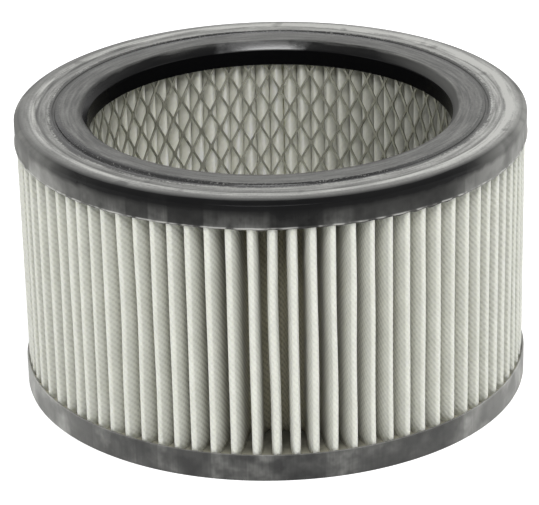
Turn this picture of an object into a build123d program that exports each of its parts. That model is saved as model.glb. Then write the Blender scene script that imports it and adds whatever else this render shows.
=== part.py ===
from build123d import *
import os
from math import cos, hypot, pi, radians, sin

# Round pleated cartridge filter for a wet and dry vacuum cleaner, standing on its plain end.
# Millimetres, +Z up along the filter's axis, origin on the axis at the bottom face.

# Whole filter
overall_height = 104.0
cap_diameter = 185.0
bore_diameter = 131.0

# End caps: soft moulded rings, each with a channel in which the pleats and the core stand
cap_height = 10.0
channel_depth = 4.0
skirt_wall = 0.8  # cap wall outside the pleat tips
bore_wall = 1.2  # cap wall inside the core
shoulder_radius = 5.0  # outer edge of the sealing cap, rounded in bevels
mouth_radius = 3.5  # inner edge of the sealing cap, rounded in bevels
shoulder_sweep = 50.0  # degrees that the shoulder turns before it meets the skirt at a crisp corner
mouth_sweep = 90.0  # degrees that the mouth turns, until it runs into the bore
edge_bevels = 2
groove_diameter = 155.6  # round groove that parts the sealing face in two lands
groove_width = 2.4
groove_depth = 1.3

# Pleated sheet: one strip of filter fleece, folded into a ring
pleat_count = 86
media_thickness = 0.8
pleat_width = 3.5  # outside width of one pleat at its tip
tip_bevel = 1.0  # each tip has a flat crest and two bevels of this size

# Core: a sheet of expanded steel, rolled into a tube
core_thickness = 0.8
diamonds_around = 24
half_rows_up = 6
strand_width = 2.0

# Radial gap that lets the pleats and the core drop into their seats
seat_clearance = 0.2

cap_radius = cap_diameter / 2
bore_radius = bore_diameter / 2
channel_inner = bore_radius + bore_wall
channel_outer = cap_radius - skirt_wall
seat_bottom = cap_height - channel_depth
seat_top = overall_height - seat_bottom
pack_height = seat_top - seat_bottom
facet_count = 2 * diamonds_around
core_inner_apothem = channel_inner + seat_clearance
core_outer_apothem = core_inner_apothem + core_thickness
core_corner_radius = core_outer_apothem / cos(pi / facet_count)
root_radius = core_corner_radius + seat_clearance
tip_radius = channel_outer - seat_clearance


def ring_section(inner, outer, low, high):
    """Half section of a plain ring about the Z axis."""
    centre = Pos((inner + outer) / 2, (low + high) / 2)
    return Plane.XZ * centre * Rectangle(outer - inner, high - low)


def edge_waste(edge, side, radius, sweep):
    """What is cut from a top edge to round it in bevels; side is 1 on the outer edge and -1 on the inner one."""
    corner = radians(90 - sweep)
    turns = [corner + step * radians(sweep) / edge_bevels for step in range(edge_bevels + 1)]
    bevels = [
        (edge + side * radius * (cos(turn) - cos(corner)), 0, overall_height + radius * (sin(turn) - 1))
        for turn in turns
    ]
    return make_face(Polyline(*bevels, (edge, 0, overall_height), close=True))


def plain_cap():
    """Bottom ring: flat underside, and a channel that opens upwards."""
    section = ring_section(bore_radius, cap_radius, 0, cap_height)
    section -= ring_section(channel_inner, channel_outer, seat_bottom, cap_height)
    return revolve(section, Axis.Z)


def sealing_cap():
    """Top ring: round shoulder and mouth, two flat lands with a groove between, and a channel that opens downwards."""
    rim = overall_height - cap_height
    section = ring_section(bore_radius, cap_radius, rim, overall_height)
    section -= ring_section(channel_inner, channel_outer, rim, seat_top)
    section -= edge_waste(cap_radius, 1, shoulder_radius, shoulder_sweep)
    section -= edge_waste(bore_radius, -1, mouth_radius, mouth_sweep)
    groove = Polyline(
        (groove_diameter / 2 - groove_width / 2, 0, overall_height),
        (groove_diameter / 2, 0, overall_height - groove_depth),
        (groove_diameter / 2 + groove_width / 2, 0, overall_height),
        close=True,
    )
    section -= make_face(groove)
    return revolve(section, Axis.Z)


def flat_fold(half_width, crest):
    """Two points across a fold, as (across, outward)."""
    return [(-half_width, crest), (half_width, crest)]


def folded_outline(tip_points, root_points):
    """Closed outline that goes round the axis through every pleat tip and every root between two tips."""
    pitch = 2 * pi / pleat_count
    outline = []
    for pleat in range(pleat_count):
        for points, angle in ((tip_points, pleat * pitch), (root_points, (pleat + 0.5) * pitch)):
            outline += [
                (out * cos(angle) - across * sin(angle), out * sin(angle) + across * cos(angle))
                for across, out in points
            ]
    return make_face(Polyline(*outline, close=True))


def pleated_sheet():
    """The strip of fleece: its dirty side outside, its clean side towards the core."""
    half = pleat_width / 2
    crest = flat_fold(half - tip_bevel, tip_radius)
    shoulders = flat_fold(half, tip_radius - tip_bevel)
    tip = [shoulders[0], *crest, shoulders[1]]
    valley_crease = [(0, root_radius + media_thickness)]
    dirty_side = folded_outline(tip, valley_crease)
    hollow_tip = flat_fold(half - media_thickness, tip_radius - media_thickness)
    root = flat_fold(media_thickness, root_radius)
    clean_side = folded_outline(hollow_tip, root)
    return Pos(0, 0, seat_bottom) * extrude(dirty_side - clean_side, pack_height)


def expanded_core():
    """Faceted tube with rows of diamond gaps, each row set half a diamond round from the next."""
    tube = extrude(
        RegularPolygon(core_outer_apothem, facet_count, major_radius=False)
        - RegularPolygon(core_inner_apothem, facet_count, major_radius=False),
        pack_height,
    )
    half_width = core_corner_radius * sin(pi / diamonds_around)
    half_height = pack_height / half_rows_up
    side_distance = half_width * half_height / hypot(half_width, half_height)
    open_share = 1 - strand_width / 2 / side_distance
    across, up = half_width * open_share, half_height * open_share
    diamond = Polygon((across, 0), (0, up), (-across, 0), (0, -up))
    gaps = []
    for row in range(half_rows_up + 1):
        for column in range(diamonds_around):
            angle = (2 * column + (row + 1) % 2) * pi / diamonds_around
            wall = Plane(
                origin=(bore_radius * cos(angle), bore_radius * sin(angle), row * half_height),
                x_dir=(-sin(angle), cos(angle), 0),
                z_dir=(cos(angle), sin(angle), 0),
            )
            gaps.append(extrude(wall * diamond, tip_radius - bore_radius))
    return Pos(0, 0, seat_bottom) * (tube - gaps)


os.makedirs("parts", exist_ok=True)
export_step(plain_cap(), "parts/bottom_end_cap.step")
export_step(sealing_cap(), "parts/top_end_cap.step")
export_step(pleated_sheet(), "parts/pleated_media.step")
export_step(expanded_core(), "parts/support_core.step")
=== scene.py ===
import math

import bpy
import numpy as np
from bpy.props import FloatProperty, FloatVectorProperty, IntProperty, PointerProperty
from mathutils import Matrix, Vector


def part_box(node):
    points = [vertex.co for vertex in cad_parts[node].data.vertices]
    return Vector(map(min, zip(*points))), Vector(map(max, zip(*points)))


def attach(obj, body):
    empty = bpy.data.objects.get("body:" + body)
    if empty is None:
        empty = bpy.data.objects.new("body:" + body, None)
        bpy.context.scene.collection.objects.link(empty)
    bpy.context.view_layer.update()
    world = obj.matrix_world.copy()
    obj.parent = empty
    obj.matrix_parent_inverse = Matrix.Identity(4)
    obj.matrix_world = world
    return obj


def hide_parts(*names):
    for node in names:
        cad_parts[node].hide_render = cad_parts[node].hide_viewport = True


bl_info = {
    "name": "Pleated cartridge filter",
    "version": (1, 0, 0),
    "blender": (4, 5, 0),
    "location": "View3D > Sidebar > Filter",
    "description": "Builds a round pleated vacuum cleaner filter over its solid model, with its studio",
    "category": "Add Mesh",
}

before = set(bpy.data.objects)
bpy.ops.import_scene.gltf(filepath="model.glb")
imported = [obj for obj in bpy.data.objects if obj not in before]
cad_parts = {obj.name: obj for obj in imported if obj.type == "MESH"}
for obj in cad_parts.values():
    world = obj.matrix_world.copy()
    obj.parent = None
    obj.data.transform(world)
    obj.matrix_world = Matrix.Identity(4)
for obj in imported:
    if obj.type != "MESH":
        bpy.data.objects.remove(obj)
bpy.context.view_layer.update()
MM = 0.001
GROOVE_RADIUS = 77.8 * MM
# Period of the dimples that are pressed into the fleece.
DIMPLE = 2.3 * MM
TOP_LOW, TOP_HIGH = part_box("top_end_cap")
FOOT_LOW, FOOT_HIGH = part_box("bottom_end_cap")
MEDIA_LOW, MEDIA_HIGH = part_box("pleated_media")
CORE_LOW, CORE_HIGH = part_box("support_core")


def linear(code):
    """Turns an sRGB hex colour into linear red, green and blue."""
    srgb = [int(code[i : i + 2], 16) / 255 for i in (1, 3, 5)]
    return [c / 12.92 if c <= 0.04045 else ((c + 0.055) / 1.055) ** 2.4 for c in srgb]


def length(name, default, description):
    """A length in metres that a user can change."""
    return FloatProperty(name=name, description=description, default=default, min=0.0, unit="LENGTH")


def colour(name, code, description):
    """A colour that a user can change, given as sRGB hex."""
    return FloatVectorProperty(
        name=name, description=description, default=linear(code), size=3, min=0.0, max=1.0, subtype="COLOR"
    )


class FilterSizes(bpy.types.PropertyGroup):
    """Sizes of the filter; the outer ones come from the solid model."""

    cap_radius: length("Cap radius", TOP_HIGH[0], "Outside radius of both end caps")
    bore_radius: length("Bore radius", 65.5 * MM, "Radius of the open middle of both caps")
    mouth_bevel: length("Mouth bevel", 3.5 * MM, "Height of the bevel at the top cap's mouth")
    mouth_edge: length("Mouth edge", 1.2 * MM, "Radius of both edges of that bevel")
    shoulder_round: length("Shoulder rounding", 5.0 * MM, "Radius of the top cap's outer edge")
    shoulder_sweep: FloatProperty(
        name="Shoulder sweep",
        description="Turn of the shoulder before the skirt",
        default=math.radians(50),
        subtype="ANGLE",
    )
    groove_radius: length("Groove radius", GROOVE_RADIUS, "Radius of the groove in the sealing face")
    groove_width: length("Groove width", 2.4 * MM, "Width of the groove in the sealing face")
    groove_depth: length("Groove depth", 1.3 * MM, "Depth of the groove in the sealing face")
    fill_drop: length("Fill drop", 1.9 * MM, "Depth of the compound's level below the foot's rim")
    land_drop: length("Outer land drop", 0.35 * MM, "How far the outer land lies below the crest beside it")
    rim_round: length("Rim rounding", 0.5 * MM, "Radius of the rim that faces the pleats")
    lip: length("Lip", 0.3 * MM, "How far the thin lip at the rim stands out from the skirt")
    wick: length("Wicking", 1.0 * MM, "How far the cast compound creeps along the pleat valleys")
    pleat_count: IntProperty(name="Pleats", description="Pleats around the filter", default=86, min=3)
    fleece: length("Fleece thickness", 0.7 * MM, "Thickness of the filter fleece")
    tip_radius: length("Tip radius", MEDIA_HIGH[0], "Radius of the circle through the pleat tips")
    root_radius: length("Root radius", 68.05 * MM, "Radius of the circle through the pleat roots")
    tip_round: length("Tip rounding", 1.1 * MM, "Outside radius of a pleat's tip")
    root_round: length("Root rounding", 2.5 * MM, "Greatest outside radius of a fold at the core")
    core_radius: length("Core radius", 67.3 * MM, "Radius of the middle of the expanded sheet")
    strands: IntProperty(name="Strands", description="Zigzag strands around the core", default=108, min=6)
    half_rows: IntProperty(name="Half rows", description="Half diamonds up the core", default=13, min=2)
    strand_width: length("Strand width", 0.85 * MM, "Width of one strand of the expanded sheet")
    strand_depth: length("Strand depth", 0.6 * MM, "Thickness of the expanded sheet")


class FilterColours(bpy.types.PropertyGroup):
    """Colours of the filter's materials."""

    elastomer: colour("Elastomer", "#0c0c0d", "Cast black elastomer of the caps")
    # This colour serves both the chalky bloom and the painted sheen and highlights on the caps.
    bloom_and_painted_sheen: colour("Bloom", "#b4b4b0", "Chalky bloom on the elastomer")
    fleece: colour("Fleece", "#d9dad1", "Outside of the fleece")
    # Painted light: the side at the core is given this lighter tone to make up for the light it lacks.
    fleece_inside_painted_light: colour("Clean fleece", "#f2f2e8", "Side of the fleece at the core")
    # Painted shade: the fleece takes this tone deep between the pleats, and so does the foot's fill.
    fleece_painted_shade: colour("Valley fleece", "#c9c6b3", "Fleece deep between the pleats")
    zinc: colour("Zinc", "#a8a89c", "Galvanised steel of the core")
    zinc_dull: colour("Dull zinc", "#8e8e83", "Duller grains of the zinc")
    floor: colour("Floor", "#f4f4f4", "Studio floor")


def set_inputs(tree, node, inputs):
    """Links a node's inputs to sockets, or fills them with values."""
    for key, value in inputs.items():
        if isinstance(value, bpy.types.NodeSocket):
            tree.links.new(value, node.inputs[key])
        else:
            node.inputs[key].default_value = value


def add(tree, kind, inputs=None, **settings):
    """Adds one node, sets it up, and links or fills its inputs."""
    made = tree.nodes.new(kind)
    for key, value in settings.items():
        setattr(made, key, value)
    set_inputs(tree, made, inputs or {})
    return made


def remap(tree, value, source=(0, 1), target=(0, 1)):
    """Carries a value from one range to another and holds it at the ends."""
    return add(tree, "ShaderNodeMapRange", dict(enumerate((value, *source, *target)))).outputs[0]


def calc(tree, operation, *values):
    """Works out a number from numbers or sockets."""
    return add(tree, "ShaderNodeMath", dict(enumerate(values)), operation=operation).outputs[0]


def vector_calc(tree, operation, *values):
    """Works on vectors, and gives a number for a length, a distance or a dot product."""
    made = add(tree, "ShaderNodeVectorMath", dict(enumerate(values)), operation=operation)
    return made.outputs["Value" if operation in ("LENGTH", "DISTANCE", "DOT_PRODUCT") else "Vector"]


def noise(tree, vector, size, detail, distortion=0.0):
    """Noise whose coarsest marks are of the given size in metres."""
    settings = {"Vector": vector, "Scale": 1 / size, "Detail": detail, "Distortion": distortion}
    return add(tree, "ShaderNodeTexNoise", settings).outputs[0]


def blend(tree, share, first, last):
    """Goes from one colour to another, each a socket or linear red, green and blue."""
    first, last = (c if isinstance(c, bpy.types.NodeSocket) else (*c, 1) for c in (first, last))
    return add(tree, "ShaderNodeMix", {0: share, 6: first, 7: last}, data_type="RGBA").outputs[2]


def new_material(name):
    """An empty node material with a Principled shader on its output."""
    made = bpy.data.materials.new(name)
    made.use_nodes = True
    tree = made.node_tree
    tree.nodes.clear()
    shader = add(tree, "ShaderNodeBsdfPrincipled")
    add(tree, "ShaderNodeOutputMaterial", {"Surface": shader.outputs[0]})
    return made, tree, shader


def cast_elastomer(colours):
    """Polyurethane cast in an open mould: satin black, with a chalky bloom in rings on top and in patches on
    the skirt. Part of that pale cover is painted light: a highlight on the crest and the lip, a sheen on both
    sides of the skirt, a reflection of the floor on the foot, light and shade at the groove, and shade inside
    the foot's rim."""
    made, tree, shader = new_material("polyurethane_cast_bloom_and_painted_light")
    place = add(tree, "ShaderNodeTexCoord").outputs["Object"]
    axes = add(tree, "ShaderNodeSeparateXYZ", {0: place})
    right, height = axes.outputs["X"], axes.outputs["Z"]
    flat = vector_calc(tree, "MULTIPLY", place, (1, 1, 0))
    radius = vector_calc(tree, "LENGTH", flat)
    heading = vector_calc(tree, "NORMALIZE", flat)
    around = add(tree, "ShaderNodeVectorMath", {0: heading, "Scale": 80 * MM}, operation="SCALE").outputs[0]
    outwards = add(tree, "ShaderNodeCombineXYZ", {"Z": radius}).outputs[0]
    polar = vector_calc(tree, "MULTIPLY_ADD", outwards, (0, 0, 16), around)
    # Chalk grains of 0.7 mm, clouds of 5 mm, wiped streaks 16 mm long and 1 mm wide round the ring,
    # and upright wear marks 11 mm wide with hairlines of 0.7 mm.
    streak = noise(tree, polar, 16 * MM, 3.0)
    grain = noise(tree, place, 0.7 * MM, 3.0)
    cloud = noise(tree, place, 5 * MM, 2.0)
    wear = noise(tree, flat, 11 * MM, 1.0)
    drawn = vector_calc(tree, "MULTIPLY", place, (1, 1, 0.06))
    hairs = noise(tree, drawn, 0.7 * MM, 2.0)
    # Bloom over the sealing face, ring by ring: mouth, land, groove, outer land, thin line, crest, shoulder.
    # The bright crest ring is partly chalk and partly a painted highlight along the crest.
    uneven = remap(tree, streak, target=(-0.8 * MM, 0.8 * MM))
    wandering = calc(tree, "ADD", radius, uneven)
    # Each stop is a radius in millimetres and a level, between the radii at the ramp's two ends.
    near, far = 65, 93
    rings = remap(tree, wandering, (near * MM, far * MM))
    ramp = add(tree, "ShaderNodeValToRGB", {0: rings})
    stops = [(65.5, 0.0), (67.4, 0.02), (68.6, 0.22), (76.0, 0.26), (76.6, 0.0), (78.9, 0.0)]
    stops += [(79.4, 0.55), (81.6, 0.48), (82.9, 0.42), (83.2, 0.28), (83.7, 0.3), (84.4, 0.62)]
    stops += [(85.2, 0.92), (86.0, 0.86), (87.2, 0.45), (88.4, 0.3), (89.5, 0.12), (90.3, 0.0)]
    points = ramp.color_ramp.elements
    while len(points) < len(stops):
        points.new(0.5)
    for point, (spot, level) in zip(points, stops):
        point.position = (spot - near) / (far - near)
        point.color = (level, level, level, 1)
    mottle = remap(tree, grain, (0.3, 0.7), (0.82, 1.18))
    drift = remap(tree, streak, (0.3, 0.7), (0.5, 1.5))
    chalk = calc(tree, "MULTIPLY", mottle, drift)
    ringed = calc(tree, "MULTIPLY", ramp.outputs[0], chalk)
    # On the crest the bloom is painted lighter to the right and the back, as painted light where more light
    # falls, with dark scuffs of wear.
    toward = vector_calc(tree, "DOT_PRODUCT", place, (0.85, 0.6, 0))
    crest_light_and_scuffs = remap(tree, toward, (-20 * MM, 60 * MM), (0.86, 1.75))
    scuff = remap(tree, wear, (0.66, 0.72), (1.0, 0.5))
    crest_light_and_scuffs = calc(tree, "MULTIPLY", crest_light_and_scuffs, scuff)
    share = remap(tree, radius, (79.4 * MM, 84.5 * MM), (1.0, crest_light_and_scuffs))
    ringed = calc(tree, "MULTIPLY", ringed, share)
    # A band round the groove is left bare, widest at the front left, as painted shade of the groove there.
    # Crumbs of chalk lie in the groove, which is painted pale at both sides as painted light.
    off = calc(tree, "SUBTRACT", radius, GROOVE_RADIUS)
    off = calc(tree, "ABSOLUTE", off)
    front_left = vector_calc(tree, "DOT_PRODUCT", heading, (-0.74, -0.67, 0))
    painted_groove_shade_width = remap(tree, front_left, (0.82, 0.95), (1.1 * MM, 2.6 * MM))
    beyond = calc(tree, "SUBTRACT", off, painted_groove_shade_width)
    beyond = calc(tree, "ADD", beyond, uneven)
    crumbled = remap(tree, grain, target=(-1.5 * MM, 1.5 * MM))
    beyond = calc(tree, "ADD", beyond, crumbled)
    clear = remap(tree, beyond, (0.0, 0.9 * MM), (0.12, 1.0))
    ringed = calc(tree, "MULTIPLY", ringed, clear)
    in_groove = remap(tree, off, (1.2 * MM, 1.8 * MM), (1.0, 0.0))
    sideways = calc(tree, "ABSOLUTE", right)
    groove_light_level = remap(tree, front_left, (0.7, 0.9), (0.2, 0.0))
    painted_groove_light_aside = remap(tree, sideways, (35 * MM, 75 * MM), (0.0, groove_light_level))
    crumbs = remap(tree, grain, (0.58, 0.68), (0.0, 0.35))
    crumbs = calc(tree, "MAXIMUM", crumbs, painted_groove_light_aside)
    ringed = calc(tree, "MULTIPLY_ADD", crumbs, in_groove, ringed)
    # The mouth's edge is chalky to the right.
    dusted = remap(tree, right, (40 * MM, 64 * MM), (0.0, 0.16))
    dusted = remap(tree, radius, (68.4 * MM, 69.4 * MM), (dusted, 0.0))
    ringed = calc(tree, "ADD", ringed, dusted)
    # Inside the foot's rim the compound is given the shaded fleece colour between the tips, lighter near the
    # rim and darker further in, as painted shade.
    inner = remap(tree, radius, (83 * MM, 90 * MM), (0.15, 0.5))
    at_foot = calc(tree, "LESS_THAN", height, 50 * MM)
    fill = remap(tree, radius, (91.2 * MM, 91.6 * MM), (at_foot, 0.0))
    inner = remap(tree, fill, target=(0.18, inner))
    ringed = add(tree, "ShaderNodeMix", {0: at_foot, 2: ringed, 3: inner}).outputs[0]
    facing = add(tree, "ShaderNodeNewGeometry").outputs["Normal"]
    upward = add(tree, "ShaderNodeSeparateXYZ", {0: facing}).outputs["Z"]
    top = remap(tree, upward, (0.45, 0.62))
    on_top = calc(tree, "MULTIPLY", top, ringed)
    # Wear on the skirts: sharp upright borders on the top cap, fading upwards, and softer clouds on the foot.
    patch = noise(tree, place, 18 * MM, 4.0)
    soft = remap(tree, patch, (0.44, 0.56), (0.5, 1.2))
    hard = remap(tree, wear, (0.49, 0.53), (0.24, 1.0))
    blunt = remap(tree, hard, (0.24, 1.0), (0.6, 1.1))
    soft = calc(tree, "MULTIPLY", soft, blunt)
    worn = add(tree, "ShaderNodeMix", {0: at_foot, 2: hard, 3: soft}).outputs[0]
    high = remap(tree, height, (94.5 * MM, 101 * MM), (0.17, 0.004))
    # Low on the foot the bloom is stronger, as a painted reflection of the lit floor.
    low = remap(tree, height, (12 * MM, 90 * MM), (0.12, 0.0))
    amount = calc(tree, "MAXIMUM", high, low)
    drawn_out = remap(tree, hairs, (0.3, 0.7), (0.85, 1.15))
    smear = remap(tree, cloud, (0.35, 0.65), (0.5, 1.5))
    streaked = calc(tree, "MULTIPLY", smear, drawn_out)
    rubbed = calc(tree, "MULTIPLY", worn, streaked)
    outer = remap(tree, radius, (67 * MM, 80 * MM))
    skirt = calc(tree, "MULTIPLY", amount, outer)
    on_skirt = calc(tree, "MULTIPLY", rubbed, skirt)
    # Both sides are the palest, in soft clouds, as a painted sheen that stands in for light reflected from
    # the sides.
    painted_front_sheen = remap(tree, sideways, (10 * MM, 45 * MM), (0.0, 0.06))
    painted_side_sheen = remap(tree, sideways, (58 * MM, 80 * MM), (painted_front_sheen, 0.52))
    # Under the shoulder that painted sheen is left out in a black band, most of all at the front, as painted
    # shade.
    wavy = remap(tree, cloud, target=(-1.2 * MM, 1.2 * MM))
    level = calc(tree, "ADD", height, wavy)
    kept = remap(tree, sideways, (66 * MM, 88 * MM), (0.1, 0.9))
    sheen_below_dark_band = remap(tree, level, (99.2 * MM, 101.0 * MM), (1.0, kept))
    painted_side_sheen = calc(tree, "MULTIPLY", painted_side_sheen, sheen_below_dark_band)
    painted_sheen_patches = remap(tree, patch, (0.42, 0.58), (0.7, 1.2))
    edge = remap(tree, radius, (87 * MM, 91 * MM))
    painted_sheen_patches = calc(tree, "MULTIPLY", painted_sheen_patches, edge)
    on_skirt = calc(tree, "MULTIPLY_ADD", painted_side_sheen, painted_sheen_patches, on_skirt)
    # The lip is thin, and a broken painted highlight runs along it.
    lip = add(tree, "ShaderNodeAttribute", attribute_name="lip").outputs["Fac"]
    lip_highlight = remap(tree, cloud, (0.43, 0.55), (0.08, 0.8))
    on_lip = calc(tree, "MULTIPLY", lip, lip_highlight)
    sides = calc(tree, "ADD", on_skirt, on_lip)
    bloom_and_painted_light_cover = add(tree, "ShaderNodeMath", {0: on_top, 1: sides}, operation="ADD", use_clamp=True).outputs[0]
    bloom_and_painted_light_colour = blend(tree, fill, colours.bloom_and_painted_sheen, colours.fleece_painted_shade)
    base = blend(tree, bloom_and_painted_light_cover, colours.elastomer, bloom_and_painted_light_colour)
    rough = remap(tree, bloom_and_painted_light_cover, (0.0, 0.15), (0.22, 0.6))
    # The bore wall is dull from its mould core, the mouth is rubbed bright at the back, and the rest has a
    # skin that shines.
    wall = remap(tree, height, (12 * MM, 90 * MM), (0.6, 0.12))
    dull = remap(tree, radius, (89.0 * MM, 90.4 * MM), (1.0, wall))
    spot = vector_calc(tree, "DISTANCE", flat, (-0.003, 0.067, 0))
    ragged = remap(tree, cloud, target=(-7 * MM, 7 * MM))
    spot = calc(tree, "ADD", spot, ragged)
    polish = remap(tree, spot, (13 * MM, 18 * MM), (0.85, 0.08))
    mouth = remap(tree, radius, (68.6 * MM, 69.6 * MM), (polish, 0.45))
    inside = remap(tree, upward, (0.1, 0.2), (0.01, mouth))
    skin = remap(tree, radius, (80 * MM, 81 * MM), (inside, 0.5))
    shine = calc(tree, "MULTIPLY", skin, dull)
    bump = add(tree, "ShaderNodeBump", {"Strength": 0.15, "Distance": 0.1 * MM, "Height": grain}).outputs[0]
    looks = {"Base Color": base, "Roughness": rough, "Normal": bump, "Specular IOR Level": shine, "IOR": 1.5}
    set_inputs(tree, shader, looks)
    return made


def filter_fleece(colours):
    """Point-bonded polyester fleece: matt, with rows of pressed dimples and fine fibre. It is painted darker
    between the pleats and in the dimples as painted shade, and its side at the core is painted lighter, with
    painted shade and highlights on it."""
    made, tree, shader = new_material("polyester_fleece_point_bonded")
    strip = add(tree, "ShaderNodeUVMap", uv_map="strip").outputs[0]
    place = add(tree, "ShaderNodeTexCoord").outputs["Object"]
    flat = vector_calc(tree, "MULTIPLY", place, (1, 1, 0))
    radius = vector_calc(tree, "LENGTH", flat)
    # Dimples lie on a lattice 2.3 mm apart each way, every second row shifted by half, and run together along
    # one diagonal.
    turns = {0: strip, "Scale": 2 * math.pi / DIMPLE}
    cell = add(tree, "ShaderNodeVectorMath", turns, operation="SCALE").outputs[0]
    axes = add(tree, "ShaderNodeSeparateXYZ", {0: cell})
    rise = calc(tree, "ADD", axes.outputs[0], axes.outputs[1])
    fall = calc(tree, "SUBTRACT", axes.outputs[0], axes.outputs[1])
    wave_a = calc(tree, "COSINE", rise)
    wave_b = calc(tree, "COSINE", fall)
    both = calc(tree, "MULTIPLY_ADD", wave_b, 0.5, wave_a)
    dimples = remap(tree, both, (-0.6, 1.3), (1.0, 0.0))
    # Fibre in tangles of 0.6 mm, as single fibres are too fine to show, and clouds of 9 mm.
    fibre = noise(tree, place, 0.6 * MM, 3.0, 1.0)
    cloud = noise(tree, place, 9 * MM, 3.0)
    outside = add(tree, "ShaderNodeAttribute", attribute_name="outside").outputs["Fac"]
    # The outside is painted toward the darker valley tone deep between the pleats, as painted shade.
    sunk = remap(tree, radius, (72 * MM, 90 * MM), (1.0, 0.0))
    depth = calc(tree, "MULTIPLY", sunk, outside)
    tone = blend(tree, depth, colours.fleece, colours.fleece_painted_shade)
    # The side at the core gets the lighter tone, as painted light.
    tone = blend(tree, outside, colours.fleece_inside_painted_light, tone)
    shade = remap(tree, cloud, (0.3, 0.7), (0.95, 1.03))
    # The dimples are painted darker, the more so deep between the pleats, as painted shade in them.
    dip = remap(tree, radius, (84 * MM, 91 * MM), (0.7, 0.91))
    dip = add(tree, "ShaderNodeMix", {0: outside, 2: 0.97, 3: dip}).outputs[0]
    dent = remap(tree, outside, target=(0.08, 0.62))
    pressed = remap(tree, dimples, (0.0, 1.0), (dip, 1.0))
    # The side at the core gets painted shade: most to the right, then high up on the left, and least on the
    # ridges, which get a painted highlight.
    parts = add(tree, "ShaderNodeSeparateXYZ", {0: place})
    across, height = parts.outputs["X"], parts.outputs["Z"]
    painted_inner_light_and_shade = remap(tree, across, (5 * MM, 60 * MM), (1.0, 0.48))
    leftward = remap(tree, across, (-50 * MM, -5 * MM), (0.72, 1.0))
    upper = remap(tree, height, (60 * MM, 94 * MM), (1.0, leftward))
    painted_inner_light_and_shade = calc(tree, "MULTIPLY", painted_inner_light_and_shade, upper)
    ridge = remap(tree, radius, (68.6 * MM, 70.6 * MM), (1.08, 0.94))
    painted_inner_light_and_shade = calc(tree, "MULTIPLY", painted_inner_light_and_shade, ridge)
    painted_inner_light_and_shade = add(tree, "ShaderNodeMix", {0: outside, 2: painted_inner_light_and_shade, 3: 1.0}).outputs[0]
    pressed = calc(tree, "MULTIPLY", pressed, painted_inner_light_and_shade)
    # The pleats' tips are painted paler, as a painted highlight on the outermost folds.
    painted_tip_highlight = remap(tree, radius, (90.4 * MM, 91.2 * MM), (1.0, 1.06))
    pressed = calc(tree, "MULTIPLY", pressed, painted_tip_highlight)
    mottle = calc(tree, "MULTIPLY", shade, pressed)
    base = add(tree, "ShaderNodeVectorMath", {0: tone, "Scale": mottle}, operation="SCALE").outputs[0]
    stamp = {"Strength": dent, "Distance": 0.2 * MM, "Height": dimples}
    emboss = add(tree, "ShaderNodeBump", stamp).outputs[0]
    fuzz = {"Strength": 0.3, "Distance": 0.1 * MM, "Height": fibre, "Normal": emboss}
    nap = add(tree, "ShaderNodeBump", fuzz).outputs[0]
    looks = {"Base Color": base, "Normal": nap, "Roughness": 0.85}
    looks |= {"Specular IOR Level": 0.25, "Sheen Weight": 0.15}
    # Light soaks through the thin sheet, so the folds and the inside glow.
    soak = remap(tree, outside, target=(0.8 * MM, 1.2 * MM))
    looks |= {"Subsurface Weight": 0.9, "Subsurface Radius": (1.0, 1.0, 0.9), "Subsurface Scale": soak}
    set_inputs(tree, shader, looks)
    return made


def galvanised_steel(colours):
    """Zinc-dipped expanded steel: dull bright metal, with grains of the zinc in two tones."""
    made, tree, shader = new_material("galvanised_steel_expanded")
    place = add(tree, "ShaderNodeTexCoord").outputs["Object"]
    # Grains of 1.6 mm.
    grains = add(tree, "ShaderNodeTexVoronoi", {"Vector": place, "Scale": 1 / (1.6 * MM)}).outputs["Color"]
    tone = blend(tree, grains, colours.zinc_dull, colours.zinc)
    rough = remap(tree, grains, target=(0.5, 0.65))
    set_inputs(tree, shader, {"Base Color": tone, "Roughness": rough, "Metallic": 1.0})
    return made


def straight_rays(tree):
    """1 for rays that show the background itself: seen by the camera, mirrored or passed through."""
    ray = add(tree, "ShaderNodeLightPath").outputs
    seen = calc(tree, "MAXIMUM", ray["Is Camera Ray"], ray["Is Glossy Ray"])
    return calc(tree, "MAXIMUM", seen, ray["Is Transmission Ray"])


def studio_floor(colours):
    """Pale floor: lit as it is, and raised to white where the camera sees it, so only the shadow shows."""
    made, tree, shader = new_material("studio_floor_paper")
    set_inputs(tree, shader, {"Base Color": (*colours.floor, 1), "Roughness": 0.9})
    lift = add(tree, "ShaderNodeEmission", {"Color": (1, 1, 1, 1), "Strength": 0.6})
    dark = add(tree, "ShaderNodeEmission", {"Color": (0, 0, 0, 1), "Strength": 0.0})
    glow = add(tree, "ShaderNodeMixShader", {0: straight_rays(tree), 1: dark.outputs[0], 2: lift.outputs[0]})
    both = add(tree, "ShaderNodeAddShader", {0: shader.outputs[0], 1: glow.outputs[0]})
    output = next(n for n in tree.nodes if n.type == "OUTPUT_MATERIAL")
    tree.links.new(both.outputs[0], output.inputs["Surface"])
    return made


def closed_grid(rows, columns):
    """Quads of a grid that closes on itself both ways, as corner numbers, one row of four for each cell."""
    row, column = np.meshgrid(np.arange(rows), np.arange(columns), indexing="ij")
    step_row, step_column = (row + 1) % rows, (column + 1) % columns
    corners = [row * columns + column, step_row * columns + column]
    corners += [step_row * columns + step_column, row * columns + step_column]
    return np.stack(corners, -1).reshape(-1, 4)


def outward(points, quads):
    """The quads turned so that the closed surface's signed volume is positive."""
    a, b, c, d = (points[quads[:, i]] for i in range(4))
    volume = (a * np.cross(b, c)).sum() + (a * np.cross(c, d)).sum()
    return quads if volume > 0 else quads[:, ::-1]


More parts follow.
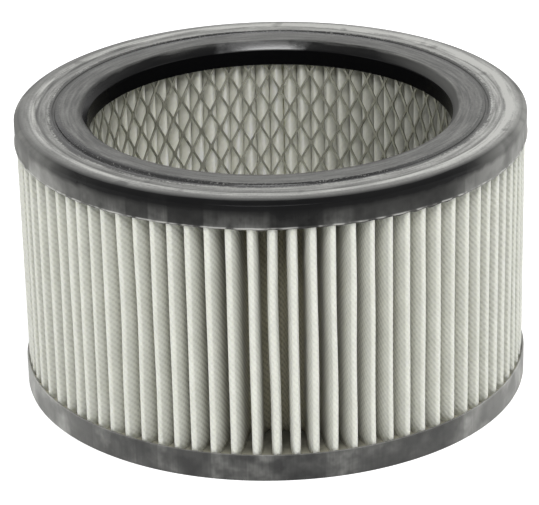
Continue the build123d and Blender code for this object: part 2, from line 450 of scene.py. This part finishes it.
def mesh_piece(name, points, quads, material, body, node):
    """A mesh object from corner points and quads, smooth shaded, in place of a solid of the frame."""
    mesh = bpy.data.meshes.new(name)
    mesh.vertices.add(len(points))
    mesh.vertices.foreach_set("co", points.astype(np.float32).ravel())
    mesh.loops.add(quads.size)
    mesh.loops.foreach_set("vertex_index", quads.astype(np.int32).ravel())
    mesh.polygons.add(len(quads))
    mesh.polygons.foreach_set("loop_start", np.arange(0, quads.size, 4, dtype=np.int32))
    mesh.polygons.foreach_set("use_smooth", np.ones(len(quads), dtype=bool))
    mesh.update(calc_edges=True)
    if mesh.validate():
        raise RuntimeError(f"{name}: its mesh had faults")
    mesh.materials.append(material)
    made = bpy.data.objects.new(name, mesh)
    bpy.context.scene.collection.objects.link(made)
    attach(made, body)
    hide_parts(node)
    return made


def arc(centre, radius, start, end, count):
    """Points on an arc of a section, from a start angle to an end angle in degrees, as (outward, up)."""
    turn = np.radians(np.linspace(start, end, count))
    return np.stack([centre[0] + radius * np.cos(turn), centre[1] + radius * np.sin(turn)], 1)


def run(start, end, count):
    """Points on a straight run of a section, both ends included."""
    return np.linspace(start, end, count)


def ripple(angle, waves, seed):
    """A smooth closed random curve round the axis, about -1 to 1: a sum of cosines with seeded strengths and
    phases."""
    dice = np.random.default_rng(seed)
    order = np.arange(1, waves + 1)
    strength = dice.normal(size=waves) / np.sqrt(order)
    phase = dice.uniform(0, 2 * np.pi, waves)
    total = (strength * np.cos(np.multiply.outer(angle, order) + phase)).sum(-1)
    return total / np.sqrt((strength**2).sum() * 2)


def tip_angles(sizes):
    """Angle of each pleat's tip: an even pitch plus a seeded wave of about half a pitch, so the pleats crowd
    and part."""
    even = np.arange(sizes.pleat_count) * 2 * np.pi / sizes.pleat_count - np.pi / 2
    return even + 0.48 * ripple(even, waves=14, seed=776) * 2 * np.pi / sizes.pleat_count


def valley_share(angle, sizes):
    """0 at a pleat's tip and 1 midway to the next, by a cosine of the place between the two nearest tips."""
    tips = tip_angles(sizes)
    tips = np.concatenate([tips - 2 * np.pi, tips, tips + 2 * np.pi])
    return 0.5 - 0.5 * np.cos(2 * np.pi * np.interp(angle, tips, np.arange(len(tips))))


def ring_points(section, angle, outward_shift, rise):
    """Carries a closed section round the axis; the shifts are given for each angle and section point."""
    out = section[None, :, 0] + outward_shift
    up = section[None, :, 1] + rise
    turn = angle[:, None]
    return np.stack([out * np.cos(turn), out * np.sin(turn), np.broadcast_to(up, out.shape)], -1)


def cap_mesh(name, section, rim, creep, material, node, sizes):
    """A cast ring: its section carried round the axis, slightly out of round. The compound is drawn along the
    valleys between the pleats at the rim, by the share creep of the wicking, which is below 0 where it runs
    down. The top cap's groove is widest at the front left."""
    angle = np.linspace(-np.pi, np.pi, sizes.pleat_count * 8, endpoint=False)
    # The part of the section outside this radius is the one that meets the pleats' tips.
    tips_from = 80 * MM
    near_rim = np.clip(1 - np.abs(section[:, 1] - rim) / (1.6 * MM), 0, 1) * (section[:, 0] > tips_from)
    near_rim *= np.clip((sizes.cap_radius - section[:, 0]) / (0.9 * MM), 0.25, 1)
    reach = valley_share(angle, sizes) * (0.6 + 0.5 * ripple(angle, waves=60, seed=3))
    reach = reach + 0.2 * ripple(angle, waves=24, seed=4)
    rise = creep * sizes.wick * reach[:, None] * near_rim[None, :]
    lean = np.clip((section[:, 0] - tips_from) / (12 * MM), 0, 1)
    shift = -0.12 * MM * (1 + ripple(angle, waves=9, seed=5))[:, None] * lean[None, :]
    offset = section[:, 0] - sizes.groove_radius
    # The sealing face lies well above the rim. The bottom cap has nothing there.
    on_face = section[:, 1] > rim + 5 * MM
    in_groove = (np.abs(offset) < 0.51 * sizes.groove_width) & on_face
    breadth = 0.55 + 0.5 * np.clip(np.cos(angle + 2.2), 0, 1) ** 6 + 0.15 * ripple(angle, waves=90, seed=6)
    shift = shift + np.where(in_groove, offset, 0.0)[None, :] * (breadth[:, None] - 1)
    sunk = np.where(in_groove, section[:, 1].max() - section[:, 1], 0.0)
    rise = rise + sunk[None, :] * (1 - np.clip(breadth, 0.3, 1.1))[:, None]
    points = ring_points(section, angle, shift, rise).reshape(-1, 3)
    quads = outward(points, closed_grid(len(angle), len(section)))
    made = mesh_piece(name, points, quads, material, "root", node)
    # 1 on the thin lip that runs round the top cap's rim outside.
    lip = np.clip(1.2 - np.abs(section[:, 1] - rim - 0.5 * MM) / (0.3 * MM), 0, 1)
    lip = lip * (section[:, 0] > sizes.cap_radius - 1.3 * MM) * (creep < 0)
    held = made.data.attributes.new("lip", "FLOAT", "POINT")
    held.data.foreach_set("value", np.tile(lip, len(angle)).astype(np.float32))
    return made


class FILTER_OT_top_cap(bpy.types.Operator):
    """Cast top cap: a bevelled mouth, two lands with a groove between, a crest, a rounded shoulder and a
    skirt."""

    bl_idname = "filter.top_cap"
    bl_label = "Top cap"

    def execute(self, context):
        s = context.scene.filter_sizes
        top, rim = TOP_HIGH[2], TOP_LOW[2]
        out, bore, small, lip = s.cap_radius, s.bore_radius, s.rim_round, s.lip
        place = np.linspace(-1, 1, 11)
        groove_out = s.groove_radius + place * s.groove_width / 2
        groove = np.stack([groove_out, top - s.groove_depth * (1 - place**4)], 1)
        edge = s.mouth_edge
        mouth = np.concatenate(
            [
                arc((bore + edge, top - s.mouth_bevel), edge, 176, 142, 4),
                arc((bore + s.mouth_bevel - 0.5 * MM, top - edge), edge, 138, 90, 6),
            ]
        )
        skirt = out - lip
        curve, sweep = s.shoulder_round, s.shoulder_sweep
        across, fall = curve * math.sin(sweep), curve * (1 - math.cos(sweep))
        shoulder = arc((skirt - across, top - curve), curve, 90, 90 - math.degrees(sweep), 10)
        land_end = 83.0 * MM
        low = top - s.land_drop
        section = np.concatenate(
            [
                run((bore, rim + 1.2 * MM), (bore, top - s.mouth_bevel), 6),
                mouth,
                run(mouth[-1], groove[0], 6)[1:-1],
                groove,
                run(groove[-1], (land_end, low), 6)[1:],
                [(land_end + 0.25 * MM, low - 0.12 * MM), (land_end + 0.5 * MM, low - 0.12 * MM)],
                [(land_end + 0.8 * MM, low + 0.05 * MM), (land_end + 1.4 * MM, top - 0.1 * MM)],
                run((land_end + 2.2 * MM, top), shoulder[0], 4)[:-1],
                shoulder,
                run((skirt, top - fall - 0.1 * MM), (skirt, rim + 1.1 * MM), 6),
                [(skirt + 0.1 * MM, rim + 0.9 * MM), (out - 0.02 * MM, rim + 0.65 * MM)],
                [(out, rim + 0.45 * MM), (out - 0.1 * MM, rim + 0.15 * MM)],
                [(out - 0.4 * MM, rim), (out - 1.0 * MM, rim)],
                run((out - 1.7 * MM, rim), (out - 2.2 * MM, rim + 0.6 * MM), 3),
                run((out - 4 * MM, rim + 0.6 * MM), (bore + 3 * MM, rim + 0.6 * MM), 6),
                run((bore + 1.6 * MM, rim + 0.7 * MM), (bore + small, rim + 0.7 * MM), 3),
                arc((bore + small, rim + 1.2 * MM), small, -90, -180, 4)[1:-1],
            ]
        )
        elastomer = bpy.data.materials["polyurethane_cast_bloom_and_painted_light"]
        cap_mesh("top_cap", section, rim, -1, elastomer, "top_end_cap", s)
        return {"FINISHED"}


class FILTER_OT_bottom_cap(bpy.types.Operator):
    """Cast bottom cap: a plain ring with a flat underside, a skirt, and the compound level below its rim."""

    bl_idname = "filter.bottom_cap"
    bl_label = "Bottom cap"

    def execute(self, context):
        s = context.scene.filter_sizes
        foot, rim = FOOT_LOW[2], FOOT_HIGH[2]
        out, bore, small = s.cap_radius, s.bore_radius, s.rim_round
        section = np.concatenate(
            [
                arc((bore + small, foot + small), small, 180, 270, 4),
                run((bore + 3 * MM, foot), (out - 3 * MM, foot), 6),
                arc((out - small, foot + small), small, -90, 0, 5),
                run((out, foot + small), (out, rim - small), 8)[1:-1],
                arc((out - 0.3 * MM, rim - 0.3 * MM), 0.3 * MM, 0, 90, 5),
                [(out - 0.6 * MM, rim - 0.05 * MM), (out - 0.8 * MM, rim - 0.35 * MM)],
                [(out - 0.85 * MM, rim - 1.2 * MM)],
                run((out - 1.2 * MM, rim - s.fill_drop), (bore + 2 * MM, rim - s.fill_drop), 12),
                run((bore + 0.8 * MM, rim), (bore + small, rim), 2),
                arc((bore + small, rim - small), small, 90, 180, 4)[1:],
                run((bore, rim - small), (bore, foot + small), 6)[1:-1],
            ]
        )
        elastomer = bpy.data.materials["polyurethane_cast_bloom_and_painted_light"]
        cap_mesh("bottom_cap", section, rim, 0.25, elastomer, "bottom_end_cap", s)
        return {"FINISHED"}


def fold_line(sizes, side, up):
    """One face of the folded strip: for every pleat a round tip, a bowed flank, a pointed root and a flank
    back.

    side is +1 for the outside and -1 for the side at the core. up holds the heights, from 0 at the foot to 1.
    A tip is half a circle about a centre inside the tip circle, a root a pointed arch about a centre outside
    the root circle, and a flank joins their ends with a bulge. Tips wander and lean with height.
    """
    count = sizes.pleat_count
    dice = np.random.default_rng(23)
    half = side * sizes.fleece / 2
    # Depth of a root's arch as a share of half its width.
    half_deep = 1.45
    tip_turn = tip_angles(sizes)
    # Roots keep nearly to an even pitch, and none is wider than the room between its neighbours.
    stray = np.clip(dice.normal(0, 0.008, count), -0.015, 0.015)
    root_turn = (np.arange(count) + 0.5 + stray) * 2 * np.pi / count - np.pi / 2
    to_next = (np.roll(root_turn, -1) - root_turn) % (2 * np.pi) * (sizes.root_radius + sizes.root_round)
    root_out = np.minimum(np.minimum(to_next, np.roll(to_next, 1)) / 2 - 0.05 * MM, sizes.root_round)
    root_sink = np.abs(dice.normal(0, 0.3, count)) * MM
    # Tips sway and vary in width with height, most of all midway between the caps, and some stand back.
    free = np.sin(np.pi * up)[:, None]
    swing = dice.normal(0, 0.22, count) * MM
    wave = dice.uniform(0, 2 * np.pi, count)
    sway = swing * free * (0.6 + 0.6 * np.sin(2.2 * np.pi * up[:, None] + wave))
    tip_turn = tip_turn + sway / sizes.tip_radius
    root_turn = root_turn + np.zeros_like(free)
    width = 1 + np.clip(dice.normal(0, 0.09, count), -0.18, 0.18)
    width = width + 0.05 * free * np.sin(3 * np.pi * up[:, None] + wave)
    sink = np.abs(dice.normal(0, 0.15, count)) * MM * (0.4 + 0.6 * free)
    tip_out = sizes.tip_round * width
    tip_mid = tip_out - sizes.fleece / 2
    root_mid = root_out - sizes.fleece / 2
    tip_centre = sizes.tip_radius - sink - tip_out
    root_centre = sizes.root_radius + root_sink + half_deep * root_out + np.zeros_like(tip_turn)

    def placed(turn, centre, radius, outward_part, across_part):
        """Points about a centre on a ray, as arrays over height, pleat and place on the fold."""
        out = centre[..., None] + radius[..., None] * outward_part
        across = radius[..., None] * across_part
        c, s = np.cos(turn)[..., None], np.sin(turn)[..., None]
        return np.stack([out * c - across * s, out * s + across * c], -1)

    bend = np.linspace(-np.pi / 2, np.pi / 2, 9)
    tips = placed(tip_turn, tip_centre, tip_mid + half, np.cos(bend), np.sin(bend))
    spread = np.linspace(-1, 1, 7)
    # The arch falls with the distance from its point, which is blunted a little, from its full depth to 0.
    blunt, least, fall = 0.06, 0.245, 0.785
    arch = half_deep * (1 - (np.sqrt(spread**2 + blunt) - least) / fall)
    root_round = root_mid - half + np.zeros_like(tip_turn)
    roots = placed(root_turn, root_centre, root_round, -arch, spread)
    # Places on a flank, as shares of the way from tip to root, and its bulge there, which the room limits.
    share = np.array([0.05, 0.13, 0.24, 0.42, 0.7])
    bulge = np.array([0.36, 0.6, 0.72, 0.66, 0.3]) * MM
    gap = (np.roll(tip_turn, -1, axis=1) - tip_turn) % (2 * np.pi) * sizes.tip_radius
    beside = np.stack([tip_out, np.roll(tip_out, -1, axis=1)])
    spare = np.clip(gap / 2 - 0.25 * MM - beside, 0, None)[..., None]

    def flank(start, end, share, bulge):
        """Points from a fold's end to the next fold's start, bulged out of the pleat by a given amount."""
        line = start[..., None, :] * (1 - share[:, None]) + end[..., None, :] * share[:, None]
        along = end - start
        normal = np.stack([along[..., 1], -along[..., 0]], -1) / np.linalg.norm(along, axis=-1)[..., None]
        return line + normal[..., None, :] * bulge[..., None]

    next_tip = np.roll(tips, -1, axis=1)
    down = flank(tips[..., -1, :], roots[..., 0, :], share, np.minimum(bulge, spare[0]))
    back = flank(roots[..., -1, :], next_tip[..., 0, :], 1 - share[::-1], np.minimum(bulge[::-1], spare[1]))
    line = np.concatenate([tips, down, roots, back], 2)
    return line.reshape(len(up), -1, 2)


class FILTER_OT_pleats(bpy.types.Operator):
    """Pleated fleece: one strip with two faces, folded round the core, its ends sunk in the caps."""

    bl_idname = "filter.pleats"
    bl_label = "Pleats"

    def execute(self, context):
        s = context.scene.filter_sizes
        low, high = MEDIA_LOW[2], MEDIA_HIGH[2]
        up = np.linspace(0, 1, 21)
        height = low + (high - low) * up
        outer, inner = fold_line(s, 1, up), fold_line(s, -1, up)
        around = outer.shape[1]
        # Up the outside and down the inside, so the strip's two edges close over the ends.
        line = np.concatenate([outer, inner[::-1]], 0)
        level = np.concatenate([height, height[::-1]])
        upright = np.broadcast_to(level[:, None, None], (*line.shape[:2], 1))
        points = np.concatenate([line, upright], -1).reshape(-1, 3)
        quads = closed_grid(len(level), around)
        turned = outward(points, quads)
        fleece = bpy.data.materials["polyester_fleece_point_bonded"]
        made = mesh_piece("fleece", points, turned, fleece, "root", "pleated_media")
        # The strip's own map: metres along it, even for every pleat, and metres up it.
        per_pleat = around // s.pleat_count
        step = np.linalg.norm(np.diff(outer[len(up) // 2, : per_pleat + 1], axis=0), axis=1)
        cells = round(step.sum() / DIMPLE)
        run_on = np.concatenate([[0], np.cumsum(step)]) / step.sum() * cells * DIMPLE
        pleat, place = np.divmod(np.arange(around + 1), per_pleat)
        along = pleat * cells * DIMPLE + run_on[place]
        row, column = np.divmod(np.arange(len(quads)), around)
        next_row = (row + 1) % len(level)
        u = np.stack([along[column], along[column], along[column + 1], along[column + 1]], 1)
        v = np.stack([level[row], level[next_row], level[next_row], level[row]], 1)
        if not np.array_equal(turned, quads):
            u, v = u[:, ::-1], v[:, ::-1]
        # 1 on the outside of the strip and 0 on the side at the core.
        outside = made.data.attributes.new("outside", "FLOAT", "POINT")
        outside.data.foreach_set("value", np.repeat([1.0, 0.0], outer.size // 2).astype(np.float32))
        layer = made.data.uv_layers.new(name="strip")
        layer.data.foreach_set("uv", np.stack([u, v], -1).astype(np.float32).ravel())
        return {"FINISHED"}


class FILTER_OT_core(bpy.types.Operator):
    """Expanded steel core: zigzag strands side by side, each joined to its left and right neighbour in
    turn."""

    bl_idname = "filter.core"
    bl_label = "Core"

    def execute(self, context):
        s = context.scene.filter_sizes
        low, high = CORE_LOW[2], CORE_HIGH[2]
        spacing = 2 * np.pi * s.core_radius / s.strands
        # At a bond, two strands overlap by a little of their width.
        swing = (spacing - s.strand_width * 0.92) / 2
        # Each half row has a short bond, a bend, a straight leg and a bend, and the strand crosses over.
        stops = np.array([0.0, 0.07, 0.15, 0.5, 0.85, 0.93])
        swings = np.array([1.0, 0.99, 0.9, 0.0, -0.9, -0.99])
        row_sign = np.where(np.arange(s.half_rows) % 2 == 0, 1.0, -1.0)
        place = np.append((np.arange(s.half_rows)[:, None] + stops).ravel(), s.half_rows)
        sway = np.append((row_sign[:, None] * swings).ravel(), -row_sign[-1])
        height = low + (high - low) * place / s.half_rows
        side = np.where(np.arange(s.strands) % 2 == 0, 1.0, -1.0)[:, None]
        across = side * swing * sway
        # The legs twist, most at the middle of a half row.
        tilt = side * 0.25 * np.sin(np.pi * place)
        corner = np.array([(-1, -1), (1, -1), (1, 1), (-1, 1)]) / 2 * (s.strand_width, s.strand_depth)
        c, sn = np.cos(tilt)[..., None], np.sin(tilt)[..., None]
        wide = across[..., None] + corner[:, 0] * c - corner[:, 1] * sn
        out = s.core_radius + corner[:, 0] * sn + corner[:, 1] * c
        turn = (np.arange(s.strands)[:, None, None] + 0.5) * 2 * np.pi / s.strands + wide / s.core_radius
        up = np.broadcast_to(height[None, :, None], out.shape)
        points = np.stack([out * np.cos(turn), out * np.sin(turn), up], -1)
        strands, levels = points.shape[:2]
        # Four walls along each strand and a quad at each end.
        row, wall = np.meshgrid(np.arange(levels - 1), np.arange(4), indexing="ij")
        step = (wall + 1) % 4
        walls = [row * 4 + wall, row * 4 + step, (row + 1) * 4 + step, (row + 1) * 4 + wall]
        one = np.stack(walls, -1).reshape(-1, 4)
        ends = np.array([[3, 2, 1, 0], [0, 1, 2, 3] + np.full(4, (levels - 1) * 4)])
        one = np.concatenate([one, ends])
        quads = (one[None] + (np.arange(strands) * levels * 4)[:, None, None]).reshape(-1, 4)
        points = points.reshape(-1, 3)
        steel = bpy.data.materials["galvanised_steel_expanded"]
        turned = outward(points, quads)
        made = mesh_piece("core", points, turned, steel, "root", "support_core")
        made.data.polygons.foreach_set("use_smooth", np.zeros(len(quads), dtype=bool))
        return {"FINISHED"}


class FILTER_OT_stage(bpy.types.Operator):
    """Studio: a pale floor, soft lamps at the sides, in front and above, and a camera at the photograph's
    place."""

    bl_idname = "filter.stage"
    bl_label = "Stage"

    def execute(self, context):
        scene = context.scene
        scene.view_settings.view_transform = "Standard"
        size = 6.0
        mesh = bpy.data.meshes.new("floor")
        corners = [(-size, -size, 0), (size, -size, 0), (size, size, 0), (-size, size, 0)]
        mesh.from_pydata(corners, [], [(0, 1, 2, 3)])
        mesh.materials.append(studio_floor(scene.filter_colours))
        floor = bpy.data.objects.new("floor", mesh)
        scene.collection.objects.link(floor)

        world = bpy.data.worlds.new("studio")
        world.use_nodes = True
        tree = world.node_tree
        tree.nodes.clear()
        level = remap(tree, straight_rays(tree), target=(0.33, 1.0))
        sky = add(tree, "ShaderNodeBackground", {"Color": (1, 1, 1, 1), "Strength": level})
        add(tree, "ShaderNodeOutputWorld", {"Surface": sky.outputs[0]})
        scene.world = world

        # Place, width and length in metres, and power in watts. Only the lamp above leaves no glare.
        lamps = {
            "lamp_left": ((-1.0, -0.35, 0.2), (0.7, 0.7), 2.7),
            "lamp_right": ((1.0, -0.35, 0.25), (0.7, 0.7), 2.6),
            "lamp_front": ((-0.04, -0.76, 0.94), (0.6, 0.4), 6.2),
            "lamp_above": ((0.2, -0.15, 1.2), (0.9, 0.9), 6.0),
        }
        middle = Vector((0, 0, 0.05))
        for name, (place, span, watts) in lamps.items():
            lamp = bpy.data.lights.new(name, "AREA")
            lamp.shape = "RECTANGLE"
            lamp.size, lamp.size_y = span
            lamp.energy = watts
            made = bpy.data.objects.new(name, lamp)
            made.location = place
            made.visible_glossy = name != "lamp_above"
            made.rotation_euler = (middle - Vector(place)).to_track_quat("-Z", "Y").to_euler()
            scene.collection.objects.link(made)

        camera = bpy.data.cameras.new("camera")
        camera.lens = 181.8
        camera.sensor_width = 36.0
        camera.clip_end = 20.0
        place = Vector((0.0, -916.5, 450.0)) * MM
        aim = Vector((-1.4, 0.0, 45.2)) * MM
        turned = (aim - place).to_track_quat("-Z", "Y").to_matrix().to_4x4()
        made = bpy.data.objects.new("camera", camera)
        roll = Matrix.Rotation(math.radians(-1.32), 4, "Z")
        made.matrix_world = Matrix.Translation(place) @ turned @ roll
        scene.collection.objects.link(made)
        scene.camera = made
        return {"FINISHED"}


class FILTER_PT_panel(bpy.types.Panel):
    """Lists the filter's pieces, sizes and colours in the sidebar."""

    bl_idname = "FILTER_PT_panel"
    bl_label = "Pleated cartridge filter"
    bl_space_type = "VIEW_3D"
    bl_region_type = "UI"
    bl_category = "Filter"

    def draw(self, context):
        for operator in OPERATORS:
            self.layout.operator(operator.bl_idname)
        for group in (context.scene.filter_sizes, context.scene.filter_colours):
            box = self.layout.box()
            for name in group.__annotations__:
                box.prop(group, name)


OPERATORS = (FILTER_OT_top_cap, FILTER_OT_bottom_cap, FILTER_OT_pleats, FILTER_OT_core, FILTER_OT_stage)
CLASSES = (FilterSizes, FilterColours, *OPERATORS, FILTER_PT_panel)


def register():
    """Registers the classes and hangs the settings on the scene."""
    for cls in CLASSES:
        bpy.utils.register_class(cls)
    bpy.types.Scene.filter_sizes = PointerProperty(type=FilterSizes)
    bpy.types.Scene.filter_colours = PointerProperty(type=FilterColours)


def unregister():
    """Takes the settings and the classes away again."""
    del bpy.types.Scene.filter_colours
    del bpy.types.Scene.filter_sizes
    for cls in reversed(CLASSES):
        bpy.utils.unregister_class(cls)


def main():
    """Builds the materials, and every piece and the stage."""
    register()
    colours = bpy.context.scene.filter_colours
    cast_elastomer(colours)
    filter_fleece(colours)
    galvanised_steel(colours)
    bpy.ops.filter.top_cap()
    bpy.ops.filter.bottom_cap()
    bpy.ops.filter.pleats()
    bpy.ops.filter.core()
    bpy.ops.filter.stage()


if __name__ == "__main__":
    main()
